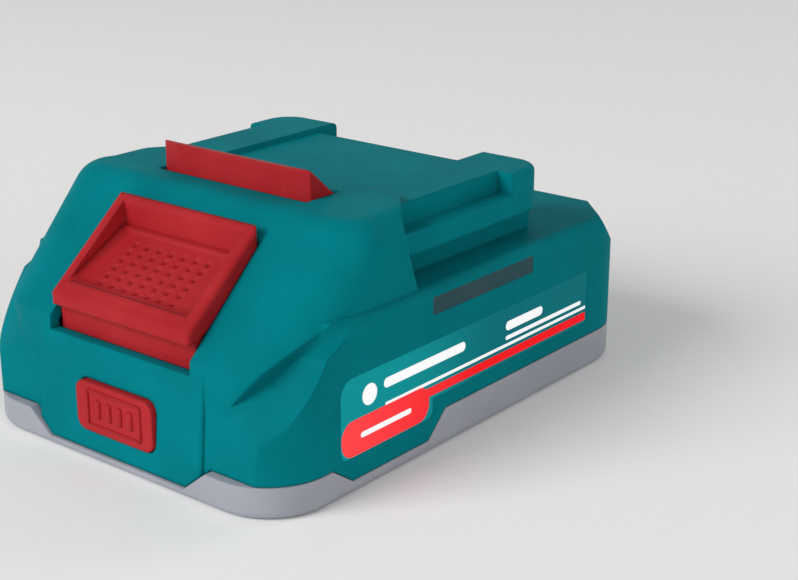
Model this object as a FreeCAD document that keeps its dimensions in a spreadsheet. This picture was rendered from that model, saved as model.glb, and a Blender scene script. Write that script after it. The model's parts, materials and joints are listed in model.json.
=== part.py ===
import FreeCAD, Part
import Sketcher
import math
import os
import types

os.makedirs("parts", exist_ok=True)
doc = FreeCAD.newDocument("slide_pack")

# Driving sizes in millimetres and degrees.
# The pack lies with its base at height 0, its button end at -Y and its terminal end at +Y.
sizes = {
    # casing
    "pack_width": 76.0,
    "pack_length": 107.0,
    "corner_radius": 12.0,
    "case_wall": 2.4,
    "tray_floor": 2.4,
    "tray_edge_radius": 1.6,
    "tray_front_height": 6.0,
    "tray_rear_height": 7.2,
    "seam_gap": 0.15,
    "front_notch_height": 1.8,
    "front_notch_half_width": 17.0,
    "front_notch_run": 5.2,
    "side_notch_height": 2.5,
    "side_notch_front": 13.9,
    "side_notch_rear": 44.3,
    "side_notch_run": 5.0,
    "deck_height": 31.0,
    "deck_thickness": 2.6,
    "deck_edge_radius": 1.6,
    "rear_bevel_run": 4.5,
    "rear_bevel_drop": 6.5,
    "rear_facet_leg": 12.9,
    "rear_facet_foot_leg": 3.1,
    "rear_facet_drop": 12.0,
    "facet_foot_offset": 24.5,
    "facet_foot_length": 0.5,
    "facet_foot_height": 16.0,
    "facet_run": 11.9,
    "facet_depth": 15.6,
    "facet_rise": 15.1,
    "facet_turn": 22.0,
    "facet_wall": 1.7,
    "facet_lap": 0.5,
    "facet_lap_gain": 0.35,
    "tip_foot_height": 26.0,
    "tip_turn": 66.0,
    # front face, hood and slope
    "face_setback": 1.2,
    "face_wall": 1.9,
    "panel_setback": 0.5,
    "panel_half_width": 20.5,
    "panel_edge_radius": 0.5,
    "face_top_setback": 2.3,
    "crease_height": 16.0,
    "crease_length": 12.5,
    "slope_foot_height": 24.0,
    "slope_angle": 43.0,
    "hood_height": 44.8,
    "hood_inset": 1.2,
    "hood_radius": 14.0,
    "hood_top_radius": 8.0,
    "hood_foot_height": 8.0,
    "hood_inner_radius": 17.0,
    "hood_crown_radius": 6.0,
    "cheek_top_length": 33.1,
    "cheek_foot_length": 40.0,
    "hood_back_length": 44.0,
    "hood_back_half_width": 28.0,
    # rails and plateau
    "rail_height": 44.0,
    "rail_half_width": 33.5,
    "rail_underside": 35.7,
    "rail_edge_radius": 1.2,
    "rail_corner_radius": 6.0,
    "rail_length": 81.3,
    "neck_half_width": 30.0,
    "step_half_width": 29.85,
    "step_floor": 40.0,
    "step_length": 70.1,
    "plateau_height": 43.0,
    "plateau_half_width": 19.3,
    "plateau_length": 75.0,
    "plateau_skin": 1.8,
    # release latch
    "latch_travel": 4.6,
    "dish_half_width": 17.2,
    "dish_gap": 0.3,
    "dish_front_setback": 2.5,
    "dish_back_length": 19.5,
    "dish_lip_gap": 0.2,
    "dish_rim_foot": 28.5,
    "dish_rim_top": 42.9,
    "dish_rim_wall": 2.4,
    "dish_edge_radius": 0.8,
    "dish_floor_foot": 28.9,
    "dish_floor_top": 36.4,
    "dish_floor_thickness": 2.2,
    "dish_mouth_height": 21.5,
    "skirt_drop_gap": 0.6,
    "skirt_thickness": 1.8,
    "skirt_gap": 0.2,
    "arm_top": 36.5,
    "arm_thickness": 2.5,
    "hook_top": 50.0,
    "hook_half_width": 18.0,
    "hook_front_length": 30.5,
    "hook_back_length": 38.5,
    "hook_crest": 1.2,
    "hook_bevel_width": 4.5,
    "hook_bevel_depth": 1.4,
    "hook_gap": 0.3,
    "wing_lap": 1.0,
    "wing_width": 3.0,
    "wing_foot": 32.0,
    "wing_front_length": 26.5,
    "wing_back_length": 36.5,
    "guide_gap": 0.2,
    "guide_thickness": 2.0,
    "guide_drop": 1.0,
    "spring_offset": 12.0,
    "spring_length_place": 28.5,
    "spring_diameter": 6.4,
    "spring_wire": 0.7,
    "spring_turns": 4.5,
    "spring_gap": 0.35,
    "spring_pin_diameter": 3.8,
    "spring_pin_height": 1.8,
    "seat_thickness": 2.4,
    "seat_width": 10.0,
    # charge gauge
    "gauge_half_width": 9.6,
    "gauge_foot": 5.6,
    "gauge_top": 14.8,
    "gauge_corner_radius": 2.0,
    "gauge_gap": 0.2,
    "gauge_proud": 0.8,
    "gauge_flange": 0.9,
    "gauge_flange_thickness": 0.7,
    "gauge_travel": 0.5,
    "gauge_wall": 2.7,
    "switch_gap": 0.2,
    "plunger_gap": 0.1,
    "gauge_board_thickness": 0.8,
    "gauge_board_half_width": 14.0,
    "gauge_board_foot": 4.4,
    "gauge_board_top": 15.4,
    "gauge_board_tail": 19.9,
    "switch_height": 0.9,
    "switch_size": 3.6,
    "plunger_diameter": 1.8,
    "led_size": 1.6,
    "led_thickness": 0.6,
    "led_pitch": 3.4,
    "led_count": 4,
    "slot_rib_width": 2.0,
    "cable_width": 1.0,
    "cable_thickness": 0.4,
    # cells and holders
    "cell_diameter": 18.3,
    "cell_length": 65.2,
    "cell_pitch": 18.7,
    "cell_cap_diameter": 6.0,
    "cell_cap_height": 0.9,
    "cell_ring_diameter": 13.0,
    "cell_rim_height": 0.3,
    "cell_edge_radius": 0.8,
    "foam_thickness": 0.8,
    "foam_half_width": 22.0,
    "foam_half_length": 41.0,
    "holder_depth": 6.4,
    "holder_end": 0.8,
    "holder_window": 13.0,
    "holder_top": 22.6,
    "holder_half_length": 45.6,
    "holder_bevel": 5.2,
    "holder_pad": 1.9,
    "holder_pad_width": 8.0,
    "holder_pad_height": 3.0,
    "cell_gap": 0.1,
    "strip_thickness": 0.2,
    "strip_width": 8.0,
    "strip_tab_width": 3.0,
    "strip_arm_rise": 2.9,
    "weld_diameter": 5.0,
    "insulator_thickness": 0.3,
    "bead_diameter": 1.9,
    "bead_rise": 4.2,
    "lead_thickness": 0.4,
    "lead_spacing": 1.0,
    # protection board and terminals
    "board_half_width": 32.5,
    "board_front_length": 40.5,
    "board_back_length": 97.0,
    "board_seat": 25.0,
    "board_thickness": 1.6,
    "block_half_width": 17.0,
    "block_depth": 12.6,
    "block_height": 13.6,
    "block_wall": 1.2,
    "power_slot_width": 2.2,
    "signal_slot_width": 1.6,
    "slot_foot": 32.0,
    "slot_top": 38.8,
    "power_offset": 12.5,
    "signal_offset": 4.5,
    "contact_sheet": 0.4,
    "contact_mouth": 0.8,
    "contact_depth": 8.8,
    "contact_setback": 2.4,
    "contact_height": 11.5,
    "contact_width": 2.4,
    "contact_gap": 0.6,
    "chip_size": 7.0,
    "chip_height": 0.9,
    "chip_length_place": 50.0,
    "mosfet_size": 5.4,
    "mosfet_pitch": 7.2,
    "mosfet_count": 4,
    "power_parts_place": 76.5,
    "shunt_width": 3.4,
    "shunt_length": 6.4,
    "shunt_height": 0.7,
    "shunt_offset": 18.0,
    "capacitor_width": 1.6,
    "capacitor_length": 3.2,
    "capacitor_pitch": 3.2,
    "capacitor_offset": 12.0,
    "capacitor_count": 3,
    # fasteners
    "screw_head_diameter": 5.0,
    "screw_head_height": 1.5,
    "screw_shank": 2.6,
    "screw_length": 13.0,
    "screw_recess": 0.3,
    "screw_offset": 23.5,
    "screw_edge": 4.7,
    "boss_diameter": 4.2,
    "well_gap": 0.3,
    "screw_clearance": 0.05,
    "board_screw_head": 3.6,
    "board_screw_head_height": 1.1,
    "board_screw_shank": 1.8,
    "board_screw_length": 4.4,
    "screw_tip_gap": 0.2,
    # printed film
    "film_thickness": 0.12,
    "film_recess": 0.15,
    "label_front_length": 16.0,
    "label_back_length": 90.0,
    "label_foot": 6.8,
    "label_top": 21.0,
    "label_line_foot": 10.2,
    "label_pill_length": 40.6,
    "label_radius": 3.0,
    "pill_radius": 1.6,
    "rating_radius": 0.5,
    "rating_front_length": 40.5,
    "rating_back_length": 70.8,
    "rating_foot": 25.8,
    "rating_top": 29.0,
}

sheet = doc.addObject("Spreadsheet::Sheet", "Sizes")
for row, (alias, number) in enumerate(sizes.items(), 1):
    sheet.set(f"A{row}", alias)
    sheet.set(f"B{row}", str(number))
    sheet.setAlias(f"B{row}", alias)
doc.recompute()


class Size:
    """A length or angle: its number and the formula that ties it to the sheet."""

    def __init__(self, formula, number):
        self.formula = formula
        self.number = float(number)

    def __add__(self, other):
        other = as_size(other)
        return Size(f"({self.formula} + {other.formula})", self.number + other.number)

    def __sub__(self, other):
        other = as_size(other)
        return Size(f"({self.formula} - {other.formula})", self.number - other.number)

    def __mul__(self, other):
        other = as_size(other)
        return Size(f"({self.formula} * {other.formula})", self.number * other.number)

    def __truediv__(self, other):
        other = as_size(other)
        return Size(f"({self.formula} / {other.formula})", self.number / other.number)

    def __neg__(self):
        return Size(f"(0 - {self.formula})", -self.number)

    __radd__ = __add__
    __rmul__ = __mul__


def as_size(value):
    if isinstance(value, Size):
        return value
    return Size(f"({float(value)!r})", value)


def tangent(angle):
    return Size(f"tan({angle.formula} * 1 deg)", math.tan(math.radians(angle.number)))


s = types.SimpleNamespace(**{alias: Size(f"Sizes.{alias}", number) for alias, number in sizes.items()})

# Places that several sub-parts share.
zero = as_size(0)
half_width = s.pack_width / 2
front = -(s.pack_length / 2)
rear = s.pack_length / 2
beyond = s.pack_length
inner_half_width = half_width - s.case_wall
inner_rear = rear - s.case_wall
inner_radius = s.corner_radius - s.case_wall
slope_foot = front + s.face_top_setback
slope = tangent(s.slope_angle)
hood_crest = slope_foot + (s.hood_height - s.slope_foot_height) / slope
hood_half_width = half_width - s.hood_inset
facet_slant = tangent(s.facet_turn)
inner_front = slope_foot + s.face_wall
deck_under = s.deck_height - s.deck_thickness
hook_front = front + s.hook_front_length
hook_back = front + s.hook_back_length
cell_radius = s.cell_diameter / 2
cell_axis = s.tray_floor + s.foam_thickness + cell_radius
cell_places = [(number - 2) * s.cell_pitch for number in range(5)]
cell_end = s.cell_length / 2
holder_outer = cell_end + s.holder_end
board_top = s.board_seat + s.board_thickness
plateau_back = front + s.plateau_length
plateau_inner_back = plateau_back - s.case_wall


def bind(thing, name, size):
    thing.setExpression(name, as_size(size).formula)


def new_body(label):
    body = doc.addObject("PartDesign::Body", label)
    body.Label = label
    return body


def sketch_on(body, role, offset=0):
    """A sketch on one of the body's own origin planes, moved along that plane's normal."""
    sketch = body.newObject("Sketcher::SketchObject", f"{body.Name}_sketch")
    plane = [feature for feature in body.Origin.OriginFeatures if feature.Role == role][0]
    sketch.AttachmentSupport = [(plane, "")]
    sketch.MapMode = "FlatFace"
    bind(sketch, "AttachmentOffset.Base.z", offset)
    return sketch


def plan(body, height):
    return sketch_on(body, "XY_Plane", height)


def side_view(body, across=0):
    """Sketch x runs along Y and sketch y along Z."""
    return sketch_on(body, "YZ_Plane", across)


def front_view(body, along=0):
    """Sketch x runs along X and sketch y along Z; its normal points to -Y."""
    return sketch_on(body, "XZ_Plane", -as_size(along))


def place_point(sketch, geometry, end, x, y):
    for kind, size in (("DistanceX", as_size(x)), ("DistanceY", as_size(y))):
        index = sketch.addConstraint(Sketcher.Constraint(kind, -1, 1, geometry, end, size.number))
        bind(sketch, f"Constraints[{index}]", size)


def outline(sketch, corners):
    """A closed outline through corners (x, y) or (x, y, radius)."""
    count = len(corners)
    points = [FreeCAD.Vector(as_size(c[0]).number, as_size(c[1]).number, 0) for c in corners]
    radii = [as_size(c[2]) if len(c) > 2 else None for c in corners]
    entries, exits, centres, turns = [], [], [], []
    for i in range(count):
        before = (points[i - 1] - points[i]).normalize()
        after = (points[(i + 1) % count] - points[i]).normalize()
        if radii[i] is None:
            entries.append(points[i])
            exits.append(points[i])
            centres.append(None)
            turns.append(0)
            continue
        half = before.getAngle(after) / 2
        reach = radii[i].number / math.tan(half)
        entries.append(points[i] + before * reach)
        exits.append(points[i] + after * reach)
        bisector = (before + after).normalize()
        centres.append(points[i] + bisector * (radii[i].number / math.sin(half)))
        turns.append(1 if (after.cross(before)).z > 0 else -1)
    lines = []
    for i in range(count):
        line = Part.LineSegment(exits[i], entries[(i + 1) % count])
        lines.append(sketch.addGeometry(line, False))
    for i in range(count):
        before_line = lines[i - 1]
        after_line = lines[i]
        if radii[i] is None:
            sketch.addConstraint(Sketcher.Constraint("Coincident", before_line, 2, after_line, 1))
            place_point(sketch, after_line, 1, corners[i][0], corners[i][1])
            continue
        centre = centres[i]
        start, end = (entries[i], exits[i]) if turns[i] > 0 else (exits[i], entries[i])
        first = math.atan2(start.y - centre.y, start.x - centre.x)
        last = math.atan2(end.y - centre.y, end.x - centre.x)
        circle = Part.Circle(centre, FreeCAD.Vector(0, 0, 1), radii[i].number)
        arc = sketch.addGeometry(Part.ArcOfCircle(circle, first, last), False)
        arc_in, arc_out = (1, 2) if turns[i] > 0 else (2, 1)
        mark = sketch.addGeometry(Part.Point(points[i]), True)
        place_point(sketch, mark, 1, corners[i][0], corners[i][1])
        sketch.addConstraint(Sketcher.Constraint("PointOnObject", mark, 1, before_line))
        sketch.addConstraint(Sketcher.Constraint("PointOnObject", mark, 1, after_line))
        sketch.addConstraint(Sketcher.Constraint("Tangent", before_line, 2, arc, arc_in))
        sketch.addConstraint(Sketcher.Constraint("Tangent", after_line, 1, arc, arc_out))
        index = sketch.addConstraint(Sketcher.Constraint("Radius", arc, radii[i].number))
        bind(sketch, f"Constraints[{index}]", radii[i])


def rectangle(sketch, left, right, low, high, radius=None):
    corners = [(left, low), (right, low), (right, high), (left, high)]
    if radius is not None:
        corners = [corner + (radius,) for corner in corners]
    outline(sketch, corners)


def circle(sketch, x, y, diameter):
    radius = as_size(diameter) / 2
    centre = FreeCAD.Vector(as_size(x).number, as_size(y).number, 0)
    shape = Part.Circle(centre, FreeCAD.Vector(0, 0, 1), radius.number)
    index = sketch.addGeometry(shape, False)
    place_point(sketch, index, 3, x, y)
    constraint = sketch.addConstraint(Sketcher.Constraint("Radius", index, radius.number))
    bind(sketch, f"Constraints[{constraint}]", radius)


def pad(body, sketch, length, centred=False, backwards=False):
    feature = body.newObject("PartDesign::Pad", f"{body.Name}_pad")
    feature.Profile = sketch
    bind(feature, "Length", length)
    feature.Midplane = centred
    feature.Reversed = backwards
    doc.recompute()
    return feature


def pocket(body, sketch, depth, centred=False, forwards=False):
    """Cuts against the sketch's normal, or along it when forwards is set."""
    before = body.Shape.Volume
    feature = body.newObject("PartDesign::Pocket", f"{body.Name}_pocket")
    feature.Profile = sketch
    bind(feature, "Length", depth)
    feature.Midplane = centred
    feature.Reversed = forwards
    doc.recompute()
    if body.Shape.Volume >= before:
        raise ValueError(f"{feature.Name} removes nothing")
    return feature


def loft(body, kind, lower, upper):
    feature = body.newObject(f"PartDesign::{kind}", f"{body.Name}_loft")
    feature.Profile = lower
    feature.Sections = [upper]
    feature.Ruled = True
    doc.recompute()
    return feature


def fillet(body, radius, wanted):
    """Rounds the edges of the body's last feature that the test wanted picks."""
    base = body.Tip
    names = [f"Edge{i}" for i, edge in enumerate(base.Shape.Edges, 1) if wanted(edge.BoundBox)]
    feature = body.newObject("PartDesign::Fillet", f"{body.Name}_fillet")
    feature.Base = (base, names)
    bind(feature, "Radius", radius)
    doc.recompute()
    return feature


def near(a, b):
    return abs(a - as_size(b).number) < 0.01


def plate(label, left, right, near_side, far_side, low, high):
    """A flat rectangular piece; its body is returned for more features."""
    body = new_body(label)
    sketch = plan(body, low)
    rectangle(sketch, left, right, near_side, far_side)
    pad(body, sketch, as_size(high) - low)
    return body


def cylinder(name, x, y, z, diameter, length, axis="Z"):
    thing = doc.addObject("Part::Cylinder", name)
    bind(thing, "Radius", as_size(diameter) / 2)
    bind(thing, "Height", length)
    if axis == "Y":
        thing.Placement.Rotation = FreeCAD.Rotation(FreeCAD.Vector(1, 0, 0), -90)
    for name_part, size in (("x", x), ("y", y), ("z", z)):
        bind(thing, f"Placement.Base.{name_part}", size)
    return thing


def box(name, left, right, near_side, far_side, low, high):
    thing = doc.addObject("Part::Box", name)
    bind(thing, "Length", as_size(right) - left)
    bind(thing, "Width", as_size(far_side) - near_side)
    bind(thing, "Height", as_size(high) - low)
    for name_part, size in (("x", left), ("y", near_side), ("z", low)):
        bind(thing, f"Placement.Base.{name_part}", size)
    return thing


def group(label, things):
    """Separate solids of one kind that make one sub-part."""
    compound = doc.addObject("Part::Compound", label)
    compound.Label = label
    compound.Links = things
    doc.recompute()
    return compound


def joined(name, things):
    fuse = doc.addObject("Part::MultiFuse", name)
    fuse.Shapes = things
    return fuse


# Bottom tray: a shallow pan whose rim steps down at the front and at the sides.
side_notch = (front + s.side_notch_front, front + s.side_notch_rear)
corner_back = front + s.corner_radius


def side_seam(gap):
    """Height of the seam along the side, from the front corner to the rear."""
    fore, aft = side_notch
    return [
        (corner_back, s.tray_front_height + gap),
        (fore, s.tray_front_height + gap),
        (fore + s.side_notch_run, s.side_notch_height + gap),
        (aft - s.side_notch_run, s.side_notch_height + gap),
        (aft, s.tray_rear_height + gap),
        (beyond, s.tray_rear_height + gap),
    ]


def make_bottom_tray():
    body = new_body("bottom_tray")
    base = plan(body, 0)
    rectangle(base, -half_width, half_width, front, rear, s.corner_radius)
    pad(body, base, s.tray_rear_height)
    fillet(body, s.tray_edge_radius, lambda box: near(box.ZMax, 0))
    hollow = plan(body, s.tray_floor)
    rectangle(hollow, -inner_half_width, inner_half_width, front + s.case_wall, inner_rear,
              inner_radius)
    pocket(body, hollow, s.tray_rear_height, forwards=True)
    sides = side_view(body)
    outline(sides, side_seam(zero) + [(beyond, beyond), (corner_back, beyond)])
    pocket(body, sides, 2 * beyond, centred=True)
    corners = front_view(body, corner_back)
    rectangle(corners, -beyond, beyond, s.tray_front_height, beyond)
    pocket(body, corners, beyond, forwards=True)
    notch = front_view(body, inner_front + s.seam_gap)
    low = s.front_notch_half_width
    high = low + s.front_notch_run
    outline(notch, [(-low, s.front_notch_height), (low, s.front_notch_height),
                    (high, s.tray_front_height), (high, beyond), (-high, beyond),
                    (-high, s.tray_front_height)])
    pocket(body, notch, beyond, forwards=True)
    stands, wells, holes = plan(body, s.tray_floor), plan(body, 0), plan(body, 0)
    for x in (-s.screw_offset, s.screw_offset):
        for y in screw_rows:
            circle(stands, x, y, s.screw_head_diameter + s.case_wall)
            circle(wells, x, y, s.screw_head_diameter + 2 * s.well_gap)
            circle(holes, x, y, s.screw_shank + 2 * s.screw_clearance)
    pad(body, stands, tray_boss_top - s.tray_floor)
    pocket(body, wells, screw_seat, forwards=True)
    pocket(body, holes, beyond, forwards=True)
    return body


screw_rows = (front + s.screw_edge, rear - s.screw_edge)
screw_seat = s.screw_recess + s.screw_head_height
tray_boss_top = screw_seat + s.case_wall / 2


# Top case: lower body, rails, hood and front panel, then its hollows, openings and inner ribs.
def hood_outline(sketch, nose, half, radius, cheek, back_half, back):
    outline(sketch, [(-half, nose, radius), (half, nose, radius), (half, cheek), (back_half, back),
                     (-back_half, back), (-half, cheek)])


def make_top_case():
    body = new_body("top_case")
    base = plan(body, s.front_notch_height + s.seam_gap)
    rectangle(base, -half_width, half_width, front, rear, s.corner_radius)
    pad(body, base, s.deck_height - s.front_notch_height - s.seam_gap)
    deck_level = s.deck_height
    fillet(body, s.deck_edge_radius,
           lambda box: near(box.ZMin, deck_level) and near(box.ZMax, deck_level))
    lean = side_view(body)
    outline(lean, [(-beyond, zero), (front + s.face_setback, zero),
                   (front + s.face_setback, s.front_notch_height), (slope_foot, s.crease_height),
                   (front + s.crease_length, s.deck_height), (front + s.crease_length, beyond),
                   (-beyond, beyond)])
    pocket(body, lean, 2 * beyond, centred=True)
    bevel = side_view(body)
    outline(bevel, [(rear, s.deck_height - s.rear_bevel_drop), (beyond, s.deck_height - s.rear_bevel_drop),
                    (beyond, s.deck_height), (rear - s.rear_bevel_run, s.deck_height)])
    pocket(body, bevel, 2 * beyond, centred=True)
    for side in (-1, 1):
        cut_rear_corner(body, side)
        cut_front_corner(body, side, s.facet_lap, s.facet_lap_gain)
    add_rails(body)
    add_hood(body)
    for side in (-1, 1):
        cut_front_corner(body, side, zero, zero)
        cut_front_tip(body, side)
    add_panel(body)
    hollow_case(body)
    open_case(body)
    add_inner_ribs(body)
    trim_seam(body)
    return body


def cut_rear_corner(body, side):
    foot = s.deck_height - s.rear_facet_drop
    sections = []
    for height, leg in ((foot, s.rear_facet_foot_leg), (s.deck_height, s.rear_facet_leg)):
        section = plan(body, height)
        x, y = half_width + s.corner_radius, rear + s.corner_radius
        reach = leg + 2 * s.corner_radius
        outline(section, [(side * x, y), (side * (x - reach), y), (side * x, y - reach)])
        sections.append(section)
    cut_loft(body, *sections)


def crease_at(height):
    """Where the crease of the right front corner facet lies at a height."""
    share = (height - s.facet_foot_height) / s.facet_rise
    return s.facet_foot_offset + s.facet_run * share, front + s.facet_foot_length + s.facet_depth * share


def cut_front_corner(body, side, lap, lap_gain):
    """A slanting facet on the corner, sunk a step below the hood's rounded flank."""
    sections = []
    for height in (s.hood_foot_height, s.deck_height):
        overlap = lap + lap_gain * (height - s.hood_foot_height)
        sections.append(corner_section(body, side, height, overlap, facet_slant))
    cut_loft(body, *sections)


def cut_front_tip(body, side):
    """The facet turns further back at the top, where the deck's front corner would stick out."""
    foot = corner_section(body, side, s.tip_foot_height, zero, facet_slant)
    top = corner_section(body, side, s.deck_height, zero, tangent(s.tip_turn))
    cut_loft(body, foot, top)


def corner_section(body, side, height, overlap, slant):
    section = plan(body, height)
    x, y = crease_at(height)
    x, y = x - overlap, y - overlap * slant
    out = half_width + s.corner_radius
    outline(section, [(side * x, y), (side * x, -beyond), (side * out, -beyond),
                      (side * out, y + (out - x) * slant)])
    return section


def cut_loft(body, lower, upper):
    before = body.Shape.Volume
    loft(body, "SubtractiveLoft", lower, upper)
    if body.Shape.Volume >= before:
        raise ValueError(f"a lofted cut of {body.Name} removes nothing")


def add_rails(body):
    rails = front_view(body, front + s.rail_length)
    neck, rail, mid = s.neck_half_width, s.rail_half_width, s.plateau_half_width
    right_side = [(mid, s.plateau_height), (mid, s.rail_height),
                  (rail, s.rail_height), (rail, s.rail_underside),
                  (neck, s.rail_underside), (neck, deck_under)]
    left_side = [(-corner[0],) + corner[1:] for corner in right_side[::-1]]
    outline(rails, left_side + right_side)
    pad(body, rails, s.rail_length - s.hook_front_length)
    bay = plan(body, s.deck_height)
    rectangle(bay, -s.plateau_half_width, s.plateau_half_width, plateau_back, beyond)
    pocket(body, bay, beyond, forwards=True)
    rail_back = front + s.rail_length
    fillet(body, s.rail_corner_radius,
           lambda box: near(box.YMax, rail_back) and near(box.YMin, rail_back)
           and near(box.XMax, box.XMin) and near(abs(box.XMax), rail))
    fillet(body, s.rail_edge_radius,
           lambda box: near(box.ZMin, s.rail_height) and near(box.ZMax, s.rail_height)
           and near(abs(box.XMin), rail) and near(abs(box.XMax), rail))
    steps = plan(body, s.step_floor)
    rectangle(steps, s.step_half_width, beyond, slope_foot, front + s.step_length)
    rectangle(steps, -beyond, -s.step_half_width, slope_foot, front + s.step_length)
    pocket(body, steps, beyond, forwards=True)


def add_hood(body):
    cheek_top = front + s.cheek_top_length
    cheek_foot = front + s.cheek_foot_length
    back = front + s.hood_back_length
    back_half = s.hood_back_half_width
    foot = plan(body, s.hood_foot_height)
    hood_outline(foot, slope_foot, hood_half_width, s.hood_radius, cheek_foot, back_half, back)
    pad(body, foot, s.slope_foot_height - s.hood_foot_height)
    lower = plan(body, s.slope_foot_height)
    hood_outline(lower, slope_foot, hood_half_width, s.hood_radius, cheek_foot, back_half, back)
    upper = plan(body, s.hood_height)
    hood_outline(upper, hood_crest, hood_half_width, s.hood_top_radius, cheek_top, back_half, back)
    loft(body, "AdditiveLoft", lower, upper)
    crown = s.hood_height
    fillet(body, s.hood_crown_radius,
           lambda box: near(box.ZMin, crown) and near(box.ZMax, crown)
           and box.YMin < cheek_top.number - 1)


def add_panel(body):
    panel = side_view(body)
    foot = front + s.panel_setback
    outline(panel, [(foot, s.front_notch_height + s.seam_gap), (slope_foot, s.slope_foot_height),
                    (inner_front, s.slope_foot_height - s.case_wall),
                    (inner_front, s.front_notch_height + s.seam_gap)])
    pad(body, panel, 2 * s.panel_half_width, centred=True)
    edge = s.panel_half_width
    fillet(body, s.panel_edge_radius,
           lambda box: near(abs(box.XMax), edge) and near(abs(box.XMin), edge)
           and near(box.YMin, foot) and box.ZMax > s.crease_height.number)


def hollow_case(body):
    skin = s.case_wall
    split = s.slope_foot_height - skin / 2
    lower = plan(body, zero)
    rectangle(lower, -inner_half_width, inner_half_width, inner_front, inner_rear, inner_radius)
    pocket(body, lower, s.facet_foot_height, forwards=True)
    sections = []
    for height in (s.facet_foot_height, split):
        section = plan(body, height)
        x, y = crease_at(height)
        wide = y + (inner_half_width - x) * facet_slant + s.facet_wall
        narrow = x + (inner_front - s.facet_wall - y) / facet_slant
        outline(section, [(-inner_half_width, wide), (-narrow, inner_front), (narrow, inner_front),
                          (inner_half_width, wide), (inner_half_width, inner_rear, inner_radius),
                          (-inner_half_width, inner_rear, inner_radius)])
        sections.append(section)
    cut_loft(body, *sections)
    middle = plan(body, split)
    fore = front + s.cheek_top_length - skin
    aft = inner_rear - s.rear_bevel_run + skin / 2
    outline(middle, [(-inner_half_width, fore, skin), (inner_half_width, fore, skin),
                     (inner_half_width, aft, inner_radius), (-inner_half_width, aft, inner_radius)])
    pocket(body, middle, deck_under - split, forwards=True)
    run = (s.hood_height - skin - split) / slope
    cheek = front + s.cheek_top_length - s.case_wall / 2
    back = front + s.hood_back_length - s.case_wall
    half = hood_half_width - skin
    low_plan = plan(body, split)
    hood_outline(low_plan, inner_front, half, s.hood_inner_radius, cheek, s.neck_half_width - skin,
                 back)
    high_plan = plan(body, s.hood_height - skin)
    hood_outline(high_plan, inner_front + run, half, s.hood_top_radius - skin, cheek,
                 s.neck_half_width - skin, back)
    cut_loft(body, low_plan, high_plan)
    inside = plan(body, split)
    rectangle(inside, skin - s.neck_half_width, s.neck_half_width - skin,
              front + s.cheek_top_length, plateau_inner_back)
    pocket(body, inside, s.plateau_height - s.plateau_skin - split, forwards=True)


def open_case(body):
    mouth = plan(body, s.dish_mouth_height)
    half = s.dish_half_width + s.dish_gap
    rectangle(mouth, -half, half, -beyond, front + s.dish_back_length + s.dish_gap)
    pocket(body, mouth, beyond, forwards=True)
    slot = plan(body, s.arm_top)
    half = s.hook_half_width + s.hook_gap
    rectangle(slot, -half, half, hook_front - s.hook_gap, hook_back + s.hook_gap)
    pocket(body, slot, beyond, forwards=True)
    window = front_view(body, inner_front)
    gap = s.gauge_gap
    rectangle(window, -s.gauge_half_width - gap, s.gauge_half_width + gap, s.gauge_foot - gap,
              s.gauge_top + gap, s.gauge_corner_radius + gap)
    pocket(body, window, beyond, forwards=True)
    thin = front_view(body, inner_front)
    flange = s.gauge_flange + gap
    rectangle(thin, -s.gauge_half_width - flange, s.gauge_half_width + flange,
              s.gauge_foot - flange, s.gauge_top + flange)
    pocket(body, thin, inner_front - gauge_seat, forwards=True)
    mouths = front_view(body, plateau_inner_back)
    for place, width in contact_slots:
        rectangle(mouths, place - width / 2, place + width / 2, s.slot_foot, s.slot_top)
    pocket(body, mouths, beyond)
    for side in (-1, 1):
        recess = side_view(body, side * (half_width - s.film_recess))
        side_label_outline(recess, film_edge)
        rating_outline(recess, film_edge)
        pocket(body, recess, beyond, forwards=side > 0)


def add_inner_ribs(body):
    guide = plan(body, guide_foot)
    inner = wing_outer + s.guide_gap
    fore = front + s.wing_front_length - s.guide_thickness
    aft = front + s.wing_back_length + s.guide_thickness
    rectangle(guide, inner, inner + s.guide_thickness, fore, aft)
    rectangle(guide, -inner - s.guide_thickness, -inner, fore, aft)
    pad(body, guide, s.hood_height - s.case_wall / 2 - guide_foot)
    boss_foot = tray_boss_top + s.seam_gap
    for y, top in zip(screw_rows, (split_height, split_height + s.case_wall / 2)):
        bosses = plan(body, boss_foot)
        for x in (-s.screw_offset, s.screw_offset):
            circle(bosses, x, y, s.boss_diameter)
        pad(body, bosses, top - boss_foot)
    holes = plan(body, zero)
    for x in (-s.screw_offset, s.screw_offset):
        for y in screw_rows:
            circle(holes, x, y, s.screw_shank + 2 * s.screw_clearance)
    pocket(body, holes, screw_tip + s.seam_gap, forwards=True)
    ribs = plan(body, s.gauge_board_foot)
    for end in (-s.gauge_board_half_width, s.gauge_board_tail):
        rectangle(ribs, end - s.slot_rib_width / 2, end + s.slot_rib_width / 2, gauge_seat,
                  gauge_board_back + s.gauge_flange_thickness / 2)
    pad(body, ribs, s.gauge_board_top - s.gauge_board_foot)
    groove = plan(body, s.gauge_board_foot)
    rectangle(groove, -s.gauge_board_half_width - s.seam_gap, s.gauge_board_tail + s.seam_gap,
              gauge_board_front - s.seam_gap / 3, gauge_board_back + s.seam_gap / 3)
    pocket(body, groove, s.gauge_board_top - s.gauge_board_foot, forwards=True)


def trim_seam(body):
    sides = side_view(body)
    outline(sides, [(corner_back, zero)] + side_seam(s.seam_gap) + [(beyond, zero)])
    pocket(body, sides, 2 * beyond, centred=True)
    low = s.front_notch_half_width - s.seam_gap
    high = low + s.front_notch_run
    corners = front_view(body, corner_back)
    for side in (-1, 1):
        rim = s.tray_front_height + s.seam_gap
        outline(corners, [(side * low, zero), (side * beyond, zero), (side * beyond, rim),
                          (side * high, rim), (side * low, s.front_notch_height)])
    pocket(body, corners, beyond, forwards=True)


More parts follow.
